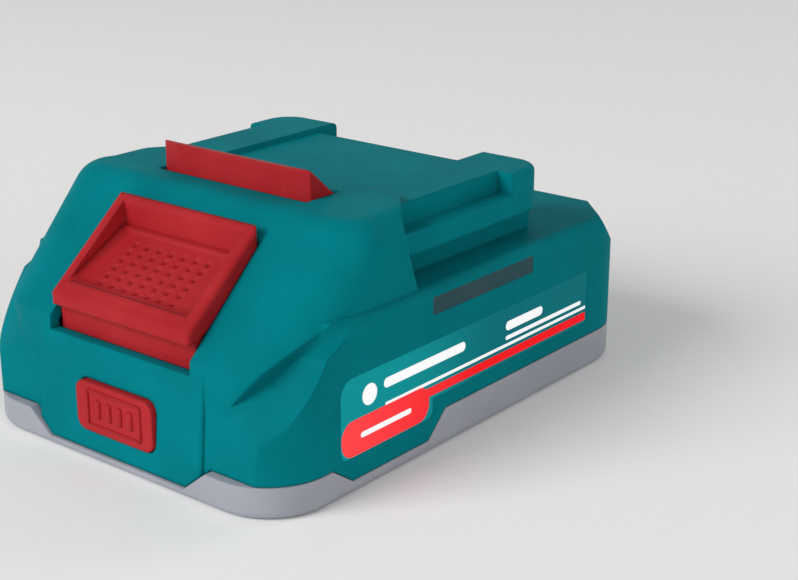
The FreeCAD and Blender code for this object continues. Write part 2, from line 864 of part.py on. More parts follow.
split_height = s.slope_foot_height - s.case_wall / 2
wing_outer = s.hook_half_width + s.wing_width
guide_foot = s.wing_foot - s.guide_drop
screw_tip = screw_seat + s.screw_length
gauge_seat = front + s.panel_setback + s.gauge_wall
gauge_back = gauge_seat + s.gauge_flange_thickness
gauge_board_front = gauge_back + s.gauge_travel + s.switch_gap + s.switch_height
gauge_board_back = gauge_board_front + s.gauge_board_thickness
contact_slots = (
    (-s.power_offset, s.power_slot_width),
    (-s.signal_offset, s.signal_slot_width),
    (s.signal_offset, s.signal_slot_width),
    (s.power_offset, s.power_slot_width),
)
film_edge = s.film_recess - s.film_thickness


def side_label_outline(sketch, edge):
    fore = front + s.label_front_length - edge
    pill = front + s.label_pill_length + edge
    aft = front + s.label_back_length + edge
    foot, line, top = s.label_foot - edge, s.label_line_foot - edge, s.label_top + edge
    outline(sketch, [(fore, foot, s.pill_radius + edge), (pill, foot, s.pill_radius + edge),
                     (pill, line), (aft, line), (aft, top), (fore, top, s.label_radius + edge)])


def rating_outline(sketch, edge):
    rectangle(sketch, front + s.rating_front_length - edge, front + s.rating_back_length + edge,
              s.rating_foot - edge, s.rating_top + edge, s.rating_radius + edge)


# Release latch: finger dish with a skirt, an arm under the hood and the hook bar.
def make_release_latch():
    body = new_body("release_latch")
    rim_front = front + s.dish_front_setback
    rim_back = front + s.dish_back_length
    wall = s.dish_rim_wall
    lip = s.dish_mouth_height + s.latch_travel + s.dish_lip_gap
    dish = side_view(body)
    outline(dish, [(rim_front, lip), (rim_front + wall, lip),
                   (rim_back, s.dish_floor_top - s.dish_floor_thickness),
                   (rim_back, s.dish_rim_top), (rim_front, s.dish_rim_foot)])
    pad(body, dish, 2 * s.dish_half_width, centred=True)
    edge = s.dish_half_width
    fillet(body, s.dish_edge_radius,
           lambda box: near(abs(box.XMax), edge) and near(box.XMin, box.XMax))
    scoop = side_view(body)
    floor_back = rim_back - wall / 2
    floor_front = rim_front + wall
    outline(scoop, [(floor_front, s.dish_floor_foot), (floor_back, s.dish_floor_top),
                    (floor_back, beyond), (floor_front, beyond)])
    pocket(body, scoop, 2 * (s.dish_half_width - wall), centred=True)
    skirt = side_view(body)
    skirt_front = inner_front + s.skirt_gap
    skirt_back = skirt_front + s.skirt_thickness
    skirt_foot = s.gauge_board_top + s.latch_travel + s.skirt_drop_gap
    outline(skirt, [(skirt_front, skirt_foot), (skirt_back, skirt_foot),
                    (skirt_back, s.dish_rim_foot - s.dish_floor_thickness / 2),
                    (skirt_front, s.dish_rim_foot - s.dish_floor_thickness / 2)])
    pad(body, skirt, 2 * (s.dish_half_width - s.dish_gap), centred=True)
    arm_foot = s.arm_top - s.arm_thickness
    arm = plan(body, arm_foot)
    rectangle(arm, -s.dish_half_width, s.dish_half_width, rim_back - wall, hook_back)
    pad(body, arm, s.arm_thickness)
    wings = plan(body, s.wing_foot)
    fore, aft = front + s.wing_front_length, front + s.wing_back_length
    rectangle(wings, s.dish_half_width - s.wing_lap, wing_outer, fore, aft)
    rectangle(wings, -wing_outer, s.wing_lap - s.dish_half_width, fore, aft)
    pad(body, wings, wing_top - s.wing_foot)
    hook = side_view(body)
    outline(hook, [(hook_front, arm_foot), (hook_back, arm_foot), (hook_back, s.rail_height),
                   (hook_front + s.hook_crest, s.hook_top), (hook_front, s.hook_top)])
    pad(body, hook, 2 * s.hook_half_width, centred=True)
    bevels = plan(body, s.arm_top)
    edge = s.hook_half_width
    for side in (-1, 1):
        outline(bevels, [(side * (edge - s.hook_bevel_width), hook_front - s.hook_bevel_depth),
                         (side * (edge + s.hook_bevel_width), hook_front - s.hook_bevel_depth),
                         (side * (edge + s.hook_bevel_width), hook_front + 2 * s.hook_bevel_depth),
                         (side * (edge - s.hook_bevel_width), hook_front)])
    pocket(body, bevels, beyond, forwards=True)
    pins = plan(body, spring_top - s.spring_pin_height)
    for x in (-s.spring_offset, s.spring_offset):
        circle(pins, x, spring_place, s.spring_pin_diameter)
    pad(body, pins, s.spring_pin_height + s.arm_thickness / 2)
    return body


wing_top = s.hood_height - s.case_wall - s.seam_gap
spring_place = front + s.spring_length_place
spring_top = s.arm_top - s.arm_thickness
seat_top = s.holder_top + s.seat_thickness


def make_spring_seat():
    fore = spring_place - s.seat_width / 2
    aft = spring_place + s.seat_width / 2
    body = plate("spring_seat", -holder_outer, holder_outer, fore, aft, s.holder_top, seat_top)
    pins = plan(body, seat_top)
    holes = plan(body, s.holder_top)
    for x in (-s.spring_offset, s.spring_offset):
        circle(pins, x, spring_place, s.spring_pin_diameter)
    pad(body, pins, s.spring_pin_height)
    for x in (-holder_screw_x, holder_screw_x):
        circle(holes, x, spring_place, s.board_screw_shank + 2 * s.screw_clearance)
    pocket(body, holes, beyond, forwards=True)
    return body


holder_screw_x = cell_end - s.holder_depth / 2 + s.holder_end / 2


def arc_from(start, end, direction):
    """The arc from start to end that leaves start along direction."""
    chord = end - start
    along = FreeCAD.Vector(chord).normalize()
    outwards = (direction - along * direction.dot(along)).normalize()
    rise = chord.Length / 2 * math.tan(direction.getAngle(chord) / 2)
    return Part.Arc(start, (start + end) / 2 + outwards * rise, end).toShape()


def coil_path(radius, pitch, turns):
    """A helix about Z drawn as two tangent arcs for each quarter turn."""
    slope_length = math.hypot(2 * math.pi * radius, pitch)
    places = []
    for step in range(round(4 * turns) + 1):
        angle = step * math.pi / 2
        point = FreeCAD.Vector(radius * math.cos(angle), radius * math.sin(angle), pitch * step / 4)
        heading = FreeCAD.Vector(-math.sin(angle), math.cos(angle), 0) * (2 * math.pi * radius)
        places.append((point, (heading + FreeCAD.Vector(0, 0, pitch)) / slope_length))
    edges = []
    for (start, leaving), (end, arriving) in zip(places, places[1:]):
        gap = end - start
        both = leaving + arriving
        square = both.dot(both) - 4
        reach = (gap.dot(both) - math.sqrt(gap.dot(both) ** 2 - square * gap.dot(gap))) / square
        middle = (start + leaving * reach + end - arriving * reach) / 2
        edges.append(arc_from(start, middle, leaving))
        edges.append(arc_from(middle, end, (middle - start - leaving * reach).normalize()))
    return Part.Wire(edges)


def make_latch_spring(label, x):
    """One unbroken compression coil that reaches from its seat to the latch arm."""
    spring = doc.addObject("Part::Feature", label)
    spring.Label = label
    wire = sheet.spring_wire
    mean = (sheet.spring_diameter - wire) / 2
    reach = spring_top.number - seat_top.number - sheet.spring_gap
    path = coil_path(mean, (reach - wire) / sheet.spring_turns, sheet.spring_turns)
    first = path.Edges[0]
    circle_edge = Part.makeCircle(wire / 2, first.valueAt(first.FirstParameter),
                                  first.tangentAt(first.FirstParameter))
    spring.Shape = path.makePipeShell([Part.Wire(circle_edge)], True, False)
    centre = FreeCAD.Vector(x.number, spring_place.number, seat_top.number + wire / 2)
    spring.Placement = FreeCAD.Placement(centre, FreeCAD.Rotation())
    return spring


# Charge gauge: push pad, board in two slotted ribs, switch, plunger and lamps.
def make_gauge_button():
    body = new_body("gauge_button")
    lean = (s.face_top_setback - s.panel_setback) * gauge_middle / s.slope_foot_height
    face = front + s.panel_setback + lean - s.gauge_proud
    pad_sketch = front_view(body, gauge_back)
    rectangle(pad_sketch, -s.gauge_half_width, s.gauge_half_width, s.gauge_foot, s.gauge_top,
              s.gauge_corner_radius)
    pad(body, pad_sketch, gauge_back - face)
    flange = front_view(body, gauge_back)
    reach = s.gauge_flange
    rectangle(flange, -s.gauge_half_width - reach, s.gauge_half_width + reach,
              s.gauge_foot - reach, s.gauge_top + reach)
    pad(body, flange, s.gauge_flange_thickness - s.seam_gap / 3)
    return body


def gauge_lamp_places():
    first = -(s.led_pitch * (sizes["led_count"] - 1) / 2)
    return [first + number * s.led_pitch for number in range(int(sizes["led_count"]))]


gauge_middle = (s.gauge_foot + s.gauge_top) / 2
lamp_height = gauge_middle + s.led_size * 1.5
switch_height_place = gauge_middle - s.led_size


def make_gauge_board():
    return plate("gauge_board", -s.gauge_board_half_width, s.gauge_board_tail, gauge_board_front,
                 gauge_board_back, s.gauge_board_foot, s.gauge_board_top)


def make_gauge_leds():
    lamps = []
    for number, x in enumerate(gauge_lamp_places(), 1):
        half = s.led_size / 2
        lamps.append(box(f"gauge_lamp_{number}", x - half, x + half, gauge_board_front - s.led_thickness,
                         gauge_board_front, lamp_height - half, lamp_height + half))
    return group("gauge_leds", lamps)


def make_gauge_switch():
    body = new_body("gauge_switch")
    base = front_view(body, gauge_board_front)
    half = s.switch_size / 2
    rectangle(base, -half, half, switch_height_place - half, switch_height_place + half)
    circle(base, 0, switch_height_place, s.plunger_diameter + s.gauge_gap)
    pad(body, base, s.switch_height)
    return body


def make_switch_plunger():
    length = gauge_board_front - gauge_back - s.gauge_travel - s.plunger_gap
    plunger = cylinder("switch_plunger", zero, gauge_back, switch_height_place, s.plunger_diameter,
                       length, "Y")
    plunger.Label = "switch_plunger"
    return plunger


def make_gauge_cable():
    """Flat ribbon from the gauge board over the cells to the protection board."""
    body = new_body("gauge_cable")
    thick = s.cable_thickness
    near_side = gauge_board_back
    level = cell_axis + cell_radius + thick
    far_side = front + s.board_front_length + s.board_thickness
    path = side_view(body, s.gauge_board_tail - s.slot_rib_width / 2 - s.seam_gap - s.cable_width / 2)
    foot = (s.gauge_board_foot + s.gauge_board_top) / 2
    outline(path, [(near_side, foot), (near_side + thick, foot), (near_side + thick, level - thick),
                   (near_side + 2 * thick, level), (far_side + thick, level),
                   (far_side + thick, s.board_seat), (far_side, s.board_seat),
                   (far_side, level + thick), (near_side + thick, level + thick),
                   (near_side, level)])
    pad(body, path, s.cable_width, centred=True)
    return body


# Cells lie along X; odd ones have their positive end at +X.
def make_cell(number, y):
    body = new_body(f"cell_{number}")
    profile = sketch_on(body, "XZ_Plane")
    shoulder = cell_end - s.cell_cap_height
    rim = shoulder + s.cell_rim_height
    cap = s.cell_cap_diameter / 2
    ring = s.cell_ring_diameter / 2
    edge = s.cell_edge_radius
    outline(profile, [(-cell_end, zero), (cell_end, zero), (cell_end, cap), (shoulder, cap),
                      (shoulder, ring), (rim, ring), (rim, cell_radius, edge),
                      (-cell_end, cell_radius, edge)])
    turn = body.newObject("PartDesign::Revolution", f"{body.Name}_turn")
    turn.Profile = profile
    turn.ReferenceAxis = (profile, ["H_Axis"])
    turn.Angle = 360
    bind(body, "Placement.Base.y", y)
    bind(body, "Placement.Base.z", cell_axis)
    if number % 2 == 0:
        body.Placement.Rotation = FreeCAD.Rotation(FreeCAD.Vector(0, 0, 1), 180)
    doc.recompute()
    return body


board_front = front + s.board_front_length
board_back = front + s.board_back_length
board_screw_rows = (board_front + s.board_screw_head, board_back - s.board_screw_head)


def make_cell_holder(label, side):
    """Comb that grips the cell ends, with posts for the board and feet to the case wall."""
    body = new_body(label)
    inner = side * (cell_end - s.holder_depth + s.holder_end)
    half = s.holder_half_length
    block = side_view(body, inner)
    bevel = s.holder_bevel
    outline(block, [(-half, s.tray_floor), (half, s.tray_floor), (half, s.holder_top),
                    (bevel - half, s.holder_top), (-half, s.holder_top - bevel)])
    pad(body, block, s.holder_depth, backwards=side < 0)
    sockets = side_view(body, inner)
    windows = side_view(body, inner)
    for y in cell_places:
        circle(sockets, y, cell_axis, s.cell_diameter + 2 * s.cell_gap)
        circle(windows, y, cell_axis, s.holder_window)
    pocket(body, sockets, s.holder_depth - s.holder_end, forwards=side > 0)
    pocket(body, windows, s.holder_depth + s.holder_end, forwards=side > 0)
    feet = side_view(body, side * holder_outer)
    for y in (s.holder_pad_width - half, half - 2 * s.holder_pad_width):
        rectangle(feet, y, y + s.holder_pad_width, s.tray_floor, s.tray_floor + s.holder_pad_height)
    pad(body, feet, s.holder_pad, backwards=side < 0)
    posts = plan(body, s.holder_top - s.holder_end)
    hole = s.board_screw_shank + 2 * s.screw_clearance
    board_holes = plan(body, board_top - s.board_screw_length - s.screw_tip_gap)
    for y in board_screw_rows:
        circle(posts, side * holder_screw_x, y, s.board_screw_head)
        circle(board_holes, side * holder_screw_x, y, hole)
    pad(body, posts, s.board_seat - s.holder_top + s.holder_end)
    pocket(body, board_holes, s.board_screw_length, forwards=True)
    seat_hole = plan(body, seat_top - s.board_screw_length - s.screw_tip_gap)
    circle(seat_hole, side * holder_screw_x, spring_place, hole)
    pocket(body, seat_hole, s.board_screw_length, forwards=True)
    return body


strip_foot = cell_axis - s.strip_width / 2
strip_top = cell_axis + s.strip_width / 2
arm_foot = strip_top + s.strip_arm_rise
arm_head = arm_foot + s.strip_tab_width
tab_top = board_top + s.strip_thickness


def make_strip(label, side, cells, tab):
    """Nickel strip welded to cell ends, with a tab that folds over the board's edge."""
    body = new_body(label)
    near_side = cells[0] - s.strip_width / 2
    far_side = cells[-1] + s.strip_width / 2
    tab_end = tab + s.strip_tab_width
    foot = [(near_side, strip_foot), (far_side, strip_foot)]
    if tab.number > far_side.number:
        sides = [(far_side, arm_foot), (tab_end, arm_foot), (tab_end, tab_top), (tab, tab_top),
                 (tab, arm_head), (near_side, arm_head)]
    else:
        sides = [(far_side, strip_top), (tab_end, strip_top), (tab_end, tab_top), (tab, tab_top),
                 (tab, strip_top), (near_side, strip_top)]
    flat = side_view(body, side * holder_outer)
    outline(flat, foot + sides)
    pad(body, flat, s.strip_thickness, backwards=side < 0)
    fold = plan(body, board_top)
    inner = side * (s.board_half_width - s.strip_tab_width)
    rectangle(fold, *((inner, holder_outer) if side > 0 else (-holder_outer, inner)), tab, tab_end)
    pad(body, fold, s.strip_thickness)
    welds = side_view(body, side * cell_end)
    for y in cells:
        circle(welds, y, cell_axis, s.weld_diameter)
    pad(body, welds, s.holder_end, backwards=side < 0)
    return body


def make_strips():
    first, second, third, fourth, fifth = cell_places
    tab = s.strip_tab_width
    reach = board_screw_rows[0] + s.board_screw_head
    make_strip("strip_negative", -1, [first], reach)
    make_strip("link_1_2", 1, [first, second], reach)
    make_strip("link_2_3", -1, [second, third], third - tab / 2)
    make_strip("link_3_4", 1, [third, fourth], fourth - tab / 2)
    make_strip("link_4_5", -1, [fourth, fifth], fourth - tab / 2)
    make_strip("strip_positive", 1, [fifth], fifth - tab)


# Protection board with its chips, and the terminal block that stands on it.
def make_protection_board():
    body = plate("protection_board", -s.board_half_width, s.board_half_width, board_front,
                 board_back, s.board_seat, board_top)
    holes = plan(body, s.board_seat)
    for x in (-holder_screw_x, holder_screw_x):
        for y in board_screw_rows:
            circle(holes, x, y, s.board_screw_shank + 2 * s.screw_clearance)
    pocket(body, holes, beyond, forwards=True)
    return body


block_back = plateau_inner_back - s.seam_gap
block_front = block_back - s.block_depth


def make_terminal_block():
    body = plate("terminal_block", -s.block_half_width, s.block_half_width, block_front, block_back,
                 board_top, board_top + s.block_height)
    bays = plan(body, board_top)
    half = s.contact_width / 2 + s.contact_gap
    for place, width in contact_slots:
        rectangle(bays, place - half, place + half, block_front + s.block_wall, beyond)
    pocket(body, bays, s.block_height - s.block_wall, forwards=True)
    return body


def make_contact(label, place):
    """Forked spring contact: two sheet leaves on a foot that stands on the board."""
    body = new_body(label)
    mouth = s.contact_mouth / 2
    leaf = mouth + s.contact_sheet
    half = s.contact_width / 2
    base = board_top + s.contact_sheet
    top = board_top + s.contact_height
    fork = front_view(body, plateau_inner_back - s.contact_setback)
    outline(fork, [(place - half, board_top), (place + half, board_top), (place + half, base),
                   (place + leaf, base), (place + leaf, top), (place + mouth, top),
                   (place + mouth, base), (place - mouth, base), (place - mouth, top),
                   (place - leaf, top), (place - leaf, base), (place - half, base)])
    pad(body, fork, s.contact_depth)
    return body


def make_board_parts():
    chip_side = front + s.chip_length_place
    power_side = front + s.power_parts_place
    plate("monitor_chip", -(s.chip_size / 2), s.chip_size / 2, chip_side, chip_side + s.chip_size,
          board_top, board_top + s.chip_height)
    plate("shunt_resistor", -s.shunt_offset - s.shunt_width, -s.shunt_offset, power_side,
          power_side + s.shunt_length, board_top, board_top + s.shunt_height)
    count = int(sizes["mosfet_count"])
    blocks = []
    for number in range(count):
        left = (number - (count - 1) / 2) * s.mosfet_pitch - s.mosfet_size / 2
        blocks.append(box(f"mosfet_{number + 1}", left, left + s.mosfet_size, power_side,
                          power_side + s.mosfet_size, board_top, board_top + s.chip_height))
    group("mosfets", blocks)
    chips = []
    for number in range(int(sizes["capacitor_count"])):
        left = s.capacitor_offset + number * s.capacitor_pitch
        chips.append(box(f"capacitor_{number + 1}", left, left + s.capacitor_width, chip_side,
                         chip_side + s.capacitor_length, board_top, board_top + s.capacitor_width))
    group("board_capacitors", chips)


def make_thermistor():
    """Bead in the groove between two cells, hung on two leads from the board."""
    y = (cell_places[2] + cell_places[3]) / 2
    height = cell_axis + s.bead_rise
    bead = cylinder("thermistor_bead", zero, y, height, s.bead_diameter, s.bead_diameter)
    half = s.lead_thickness / 2
    pieces = [bead]
    for side in (-1, 1):
        x = side * s.lead_spacing / 2
        pieces.append(box("thermistor_lead", x - half, x + half, y - half, y + half, height,
                          s.board_seat))
    joined("thermistor", pieces)


def make_soft_and_film():
    plate("foam_pad", -s.foam_half_width, s.foam_half_width, -s.foam_half_length, s.foam_half_length,
          s.tray_floor, s.tray_floor + s.foam_thickness)
    for end, side in (("left", -1), ("right", 1)):
        insulator = new_body(f"insulator_{end}")
        sheet_side = side_view(insulator, side * (holder_outer + s.strip_thickness))
        rectangle(sheet_side, -s.foam_half_length, s.foam_half_length, strip_foot, s.holder_top)
        pad(insulator, sheet_side, s.insulator_thickness, backwards=side < 0)
        for name, draw in (("side_label", side_label_outline), ("rating_strip", rating_outline)):
            film = new_body(f"{name}_{end}")
            face = side_view(film, side * (half_width - s.film_recess))
            draw(face, zero)
            pad(film, face, s.film_thickness, backwards=side < 0)


def make_screw(name, x, y, head_foot, head_height, shank_foot, shank_length, head, shank):
    top = cylinder(f"{name}_head", x, y, head_foot, head, head_height)
    stem = cylinder(f"{name}_shank", x, y, shank_foot, shank, shank_length)
    return joined(name, [top, stem])


def make_screws():
    screws = []
    for x in (-s.screw_offset, s.screw_offset):
        for y in screw_rows:
            screws.append(make_screw("case_screw", x, y, s.screw_recess, s.screw_head_height,
                                     screw_seat, s.screw_length, s.screw_head_diameter,
                                     s.screw_shank))
    group("case_screws", screws)
    screws = []
    for x in (-holder_screw_x, holder_screw_x):
        for y, seat in ((board_screw_rows[0], board_top), (board_screw_rows[1], board_top),
                        (spring_place, seat_top)):
            screws.append(make_screw("board_screw", x, y, seat, s.board_screw_head_height,
                                     seat - s.board_screw_length, s.board_screw_length,
                                     s.board_screw_head, s.board_screw_shank))
    group("board_screws", screws)


make_bottom_tray()
make_top_case()
make_release_latch()
make_spring_seat()
make_latch_spring("latch_spring_left", -s.spring_offset)
make_latch_spring("latch_spring_right", s.spring_offset)
make_gauge_button()
make_gauge_board()
make_gauge_leds()
make_gauge_switch()
make_switch_plunger()
make_gauge_cable()
for number, y in enumerate(cell_places, 1):
    make_cell(number, y)
make_cell_holder("cell_holder_left", -1)
make_cell_holder("cell_holder_right", 1)
make_strips()
make_protection_board()
make_terminal_block()
for label, place in zip(("contact_negative", "contact_identity", "contact_temperature",
                         "contact_positive"), contact_slots):
    make_contact(label, place[0])
make_board_parts()
make_thermistor()
make_soft_and_film()
make_screws()
doc.recompute()

nodes = [
    "top_case", "bottom_tray", "release_latch", "spring_seat", "latch_spring_left",
    "latch_spring_right", "gauge_button", "gauge_board", "gauge_leds", "gauge_switch",
    "switch_plunger", "gauge_cable", "cell_1", "cell_2", "cell_3", "cell_4", "cell_5",
    "cell_holder_left", "cell_holder_right", "strip_negative", "link_1_2", "link_2_3", "link_3_4",
    "link_4_5", "strip_positive", "protection_board", "terminal_block", "contact_negative",
    "contact_identity", "contact_temperature", "contact_positive", "monitor_chip",
    "shunt_resistor", "mosfets", "board_capacitors", "thermistor", "foam_pad", "insulator_left",
    "insulator_right", "side_label_left", "side_label_right", "rating_strip_left",
    "rating_strip_right", "case_screws", "board_screws",
]

faults = [thing.Name for thing in doc.Objects if {"Invalid", "Error"} & set(thing.State)]
for label in nodes:
    shape = doc.getObjectsByLabel(label)[0].Shape
    if shape.isNull() or not shape.isValid():
        faults.append(label)
if faults:
    raise RuntimeError("not sound: " + ", ".join(faults))
for label in nodes:
    shape = doc.getObjectsByLabel(label)[0].Shape
    shape.exportStep(f"parts/{label}.step")
    print(label, len(shape.Solids), round(shape.Volume, 1))
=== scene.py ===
import json
import math

import bpy
import numpy as np
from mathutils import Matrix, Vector


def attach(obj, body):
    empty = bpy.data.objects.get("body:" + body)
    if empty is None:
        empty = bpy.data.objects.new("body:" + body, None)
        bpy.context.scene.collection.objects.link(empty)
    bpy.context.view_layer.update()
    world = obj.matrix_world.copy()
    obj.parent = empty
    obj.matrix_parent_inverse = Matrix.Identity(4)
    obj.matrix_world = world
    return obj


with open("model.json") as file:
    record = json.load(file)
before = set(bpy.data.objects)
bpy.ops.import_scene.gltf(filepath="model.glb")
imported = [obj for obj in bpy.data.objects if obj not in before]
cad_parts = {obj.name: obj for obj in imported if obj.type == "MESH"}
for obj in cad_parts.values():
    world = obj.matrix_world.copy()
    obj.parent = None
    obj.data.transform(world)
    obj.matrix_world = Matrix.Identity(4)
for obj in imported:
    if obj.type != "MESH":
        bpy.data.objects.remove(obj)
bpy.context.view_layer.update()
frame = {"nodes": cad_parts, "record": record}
nodes = frame["nodes"]
mm = 0.001
print("frame loaded,", len(nodes), "nodes")

# Camera at the photograph's angle, a little above the pack's front right corner
cameraView = {
    "place": (0.1927, -0.21415, 0.1188),
    "azimuth": 38.9,        # degrees round from the pack's front
    "elevation": 19.2,      # degrees down
    "lens": 70.77,
    "sensor": 36.0,
}


def makeCamera(view):
    turn, drop = math.radians(view["azimuth"]), math.radians(view["elevation"])
    towards = Vector((-math.sin(turn) * math.cos(drop), math.cos(turn) * math.cos(drop), -math.sin(drop)))
    data = bpy.data.cameras.new("camera")
    data.lens = view["lens"]
    data.sensor_width = view["sensor"]
    data.clip_start = 0.01
    camera = bpy.data.objects.new("camera", data)
    camera.location = view["place"]
    camera.rotation_euler = towards.to_track_quat("-Z", "Y").to_euler()
    bpy.context.scene.collection.objects.link(camera)
    bpy.context.scene.camera = camera
    return camera


makeCamera(cameraView)
print("camera made")


# Node helper and colours
def addNode(tree, kind, settings=None, links=None):
    node = tree.nodes.new("ShaderNode" + kind)
    for name, value in (settings or {}).items():
        if isinstance(name, int) or name in node.inputs:
            node.inputs[name].default_value = value
        else:
            setattr(node, name, value)
    for socket, source in (links or {}).items():
        tree.links.new(source, node.inputs[socket])
    return node


# sRGB hex to linear light: a straight foot up to 0.04045, a power of 2.4 above it
def linear(hexColour):
    parts = [int(hexColour[i:i + 2], 16) / 255 for i in (1, 3, 5)]
    return tuple(c / 12.92 if c <= 0.04045 else ((c + 0.055) / 1.055) ** 2.4 for c in parts) + (1.0,)


def emptyMaterial(name):
    material = bpy.data.materials.new(name)
    material.use_nodes = True
    material.node_tree.nodes.clear()
    return material, material.node_tree


def objectPlaces(tree):
    return addNode(tree, "TexCoord").outputs["Object"]


def finishMaterial(tree, shader):
    output = addNode(tree, "OutputMaterial")
    tree.links.new(shader.outputs[0], output.inputs["Surface"])


# Moulded plastics: a spark-eroded grain gives a dull, even sheen, a faint flow shade breaks up large faces,
# and rounded edges catch the light as moulded corners do
plastics = {
    "tealAbs": {
        "colour": "#027A82",
        "deep": "#02727A",
        "roughness": 0.5,
        "gloss": 0.01,
        "grain": 0.45,         # size of the grain in mm
        "height": 0.012,       # depth of the grain in mm
        "edge": 0.8,           # radius of the edges in mm
    },
    "greyAbs": {
        "colour": "#A2A4AD",
        "deep": "#9A9CA5",
        "roughness": 0.55,
        "gloss": 0.1,
        "grain": 0.45,
        "height": 0.012,
        "edge": 0.5,
    },
    "redNylon": {
        "colour": "#AD272C",
        "deep": "#A32025",
        "roughness": 0.45,
        "gloss": 0.07,
        "grain": 0.35,
        "height": 0.008,
        "edge": 0.8,
    },
    "blackNylon": {
        "colour": "#232425",
        "deep": "#1B1C1D",
        "roughness": 0.55,
        "gloss": 0.3,
        "grain": 0.3,
        "height": 0.01,
        "edge": 0.2,
    },
    "whiteNylon": {
        "colour": "#E4E2DA",
        "deep": "#DAD8CF",
        "roughness": 0.45,
        "gloss": 0.4,
        "grain": 0.3,
        "height": 0.006,
        "edge": 0.1,
    },
}
flowSize = 14.0             # mm between the light and dark flow shades of a moulding
flowBlend = (0.35, 0.65)    # noise values where a moulding is all deep and all light
grainSpan = (0.3, 0.7)      # noise values between which the grain changes the roughness
grainRough = (-0.05, 0.06)  # and by how much


def mouldedPlastic(name, values):
    material, tree = emptyMaterial(name)
    place = objectPlaces(tree)
    flow = addNode(tree, "TexNoise", {"Scale": 1 / (flowSize * mm), "Detail": 2.0}, {"Vector": place})
    grain = addNode(tree, "TexNoise", {"Scale": 1 / (values["grain"] * mm), "Detail": 3.0}, {"Vector": place})
    shade = addNode(tree, "ValToRGB", {}, {"Fac": flow.outputs["Fac"]})
    for stop, position, colour in zip(shade.color_ramp.elements, flowBlend, (values["deep"], values["colour"])):
        stop.position = position
        stop.color = linear(colour)
    rough = addNode(tree, "MapRange",
                    {"From Min": grainSpan[0], "From Max": grainSpan[1],
                     "To Min": values["roughness"] + grainRough[0], "To Max": values["roughness"] + grainRough[1]},
                    {"Value": grain.outputs["Fac"]})
    edge = addNode(tree, "Bevel", {"samples": 6, "Radius": values["edge"] * mm})
    bump = addNode(tree, "Bump", {"Strength": 1.0, "Distance": values["height"] * mm},
                   {"Height": grain.outputs["Fac"], "Normal": edge.outputs["Normal"]})
    shader = addNode(tree, "BsdfPrincipled", {"IOR": 1.53, "Specular IOR Level": values["gloss"]},
                     {"Base Color": shade.outputs["Color"], "Roughness": rough.outputs["Result"],
                      "Normal": bump.outputs["Normal"]})
    finishMaterial(tree, shader)
    return material


# Metals: drawn wire and rolled strip show fine lines along the piece, which stretch their highlights
lineStretch = (1.0, 0.06, 1.0)    # the lines run along y
lineRough = (-0.08, 0.1)          # how far they change the roughness
lineDepth = 0.01                  # mm
metals = {
    "springSteel": {"colour": "#B9B9BB", "roughness": 0.3, "line": 0.15},
    "blackedSteel": {"colour": "#3A3B3D", "roughness": 0.42, "line": 0.3},
    "nickelStrip": {"colour": "#C9C4B8", "roughness": 0.28, "line": 0.2},
    "tinnedCopper": {"colour": "#C98F62", "roughness": 0.25, "line": 0.2},
}


def drawnMetal(name, values):
    material, tree = emptyMaterial(name)
    place = addNode(tree, "Mapping", {"Scale": lineStretch}, {"Vector": objectPlaces(tree)})
    lines = addNode(tree, "TexNoise", {"Scale": 1 / (values["line"] * mm), "Detail": 2.0},
                    {"Vector": place.outputs["Vector"]})
    rough = addNode(tree, "MapRange", {"To Min": values["roughness"] + lineRough[0],
                                       "To Max": values["roughness"] + lineRough[1]}, {"Value": lines.outputs["Fac"]})
    bump = addNode(tree, "Bump", {"Strength": 0.5, "Distance": lineDepth * mm}, {"Height": lines.outputs["Fac"]})
    shader = addNode(tree, "BsdfPrincipled", {"Base Color": linear(values["colour"]), "Metallic": 1.0},
                     {"Roughness": rough.outputs["Result"], "Normal": bump.outputs["Normal"]})
    finishMaterial(tree, shader)
    return material


# Thin skins and small electrical parts: a fine speckle and the gloss of each tell resin, paper and foam apart
speckDepth = 0.02    # mm
coatings = {
    "solderMask": {"colour": "#14502A", "speck": "#1B6335", "roughness": 0.25, "size": 1.5},
    "clearResin": {"colour": "#E6EBDD", "speck": "#DDE3D2", "roughness": 0.12, "size": 0.8},
    "cableFilm": {"colour": "#DAD7CD", "speck": "#CFCBBF", "roughness": 0.35, "size": 1.0},
    "glazedCeramic": {"colour": "#B4936A", "speck": "#A6865E", "roughness": 0.3, "size": 0.5},
    "cellFoam": {"colour": "#242424", "speck": "#151515", "roughness": 0.95, "size": 0.4},
    "pressedPaper": {"colour": "#7C9476", "speck": "#6F876A", "roughness": 0.85, "size": 0.8},
    "shrinkWrap": {"colour": "#1E7F57", "speck": "#1B744F", "roughness": 0.22, "size": 6.0},
}


def coating(name, values):
    material, tree = emptyMaterial(name)
    speck = addNode(tree, "TexNoise", {"Scale": 1 / (values["size"] * mm), "Detail": 3.0},
                    {"Vector": objectPlaces(tree)})
    mix = addNode(tree, "Mix", {"data_type": "RGBA"}, {"Factor": speck.outputs["Fac"]})
    mix.inputs[6].default_value = linear(values["colour"])
    mix.inputs[7].default_value = linear(values["speck"])
    bump = addNode(tree, "Bump", {"Strength": 0.4, "Distance": speckDepth * mm}, {"Height": speck.outputs["Fac"]})
    shader = addNode(tree, "BsdfPrincipled", {"Roughness": values["roughness"]},
                     {"Base Color": mix.outputs[2], "Normal": bump.outputs["Normal"]})
    finishMaterial(tree, shader)
    return material


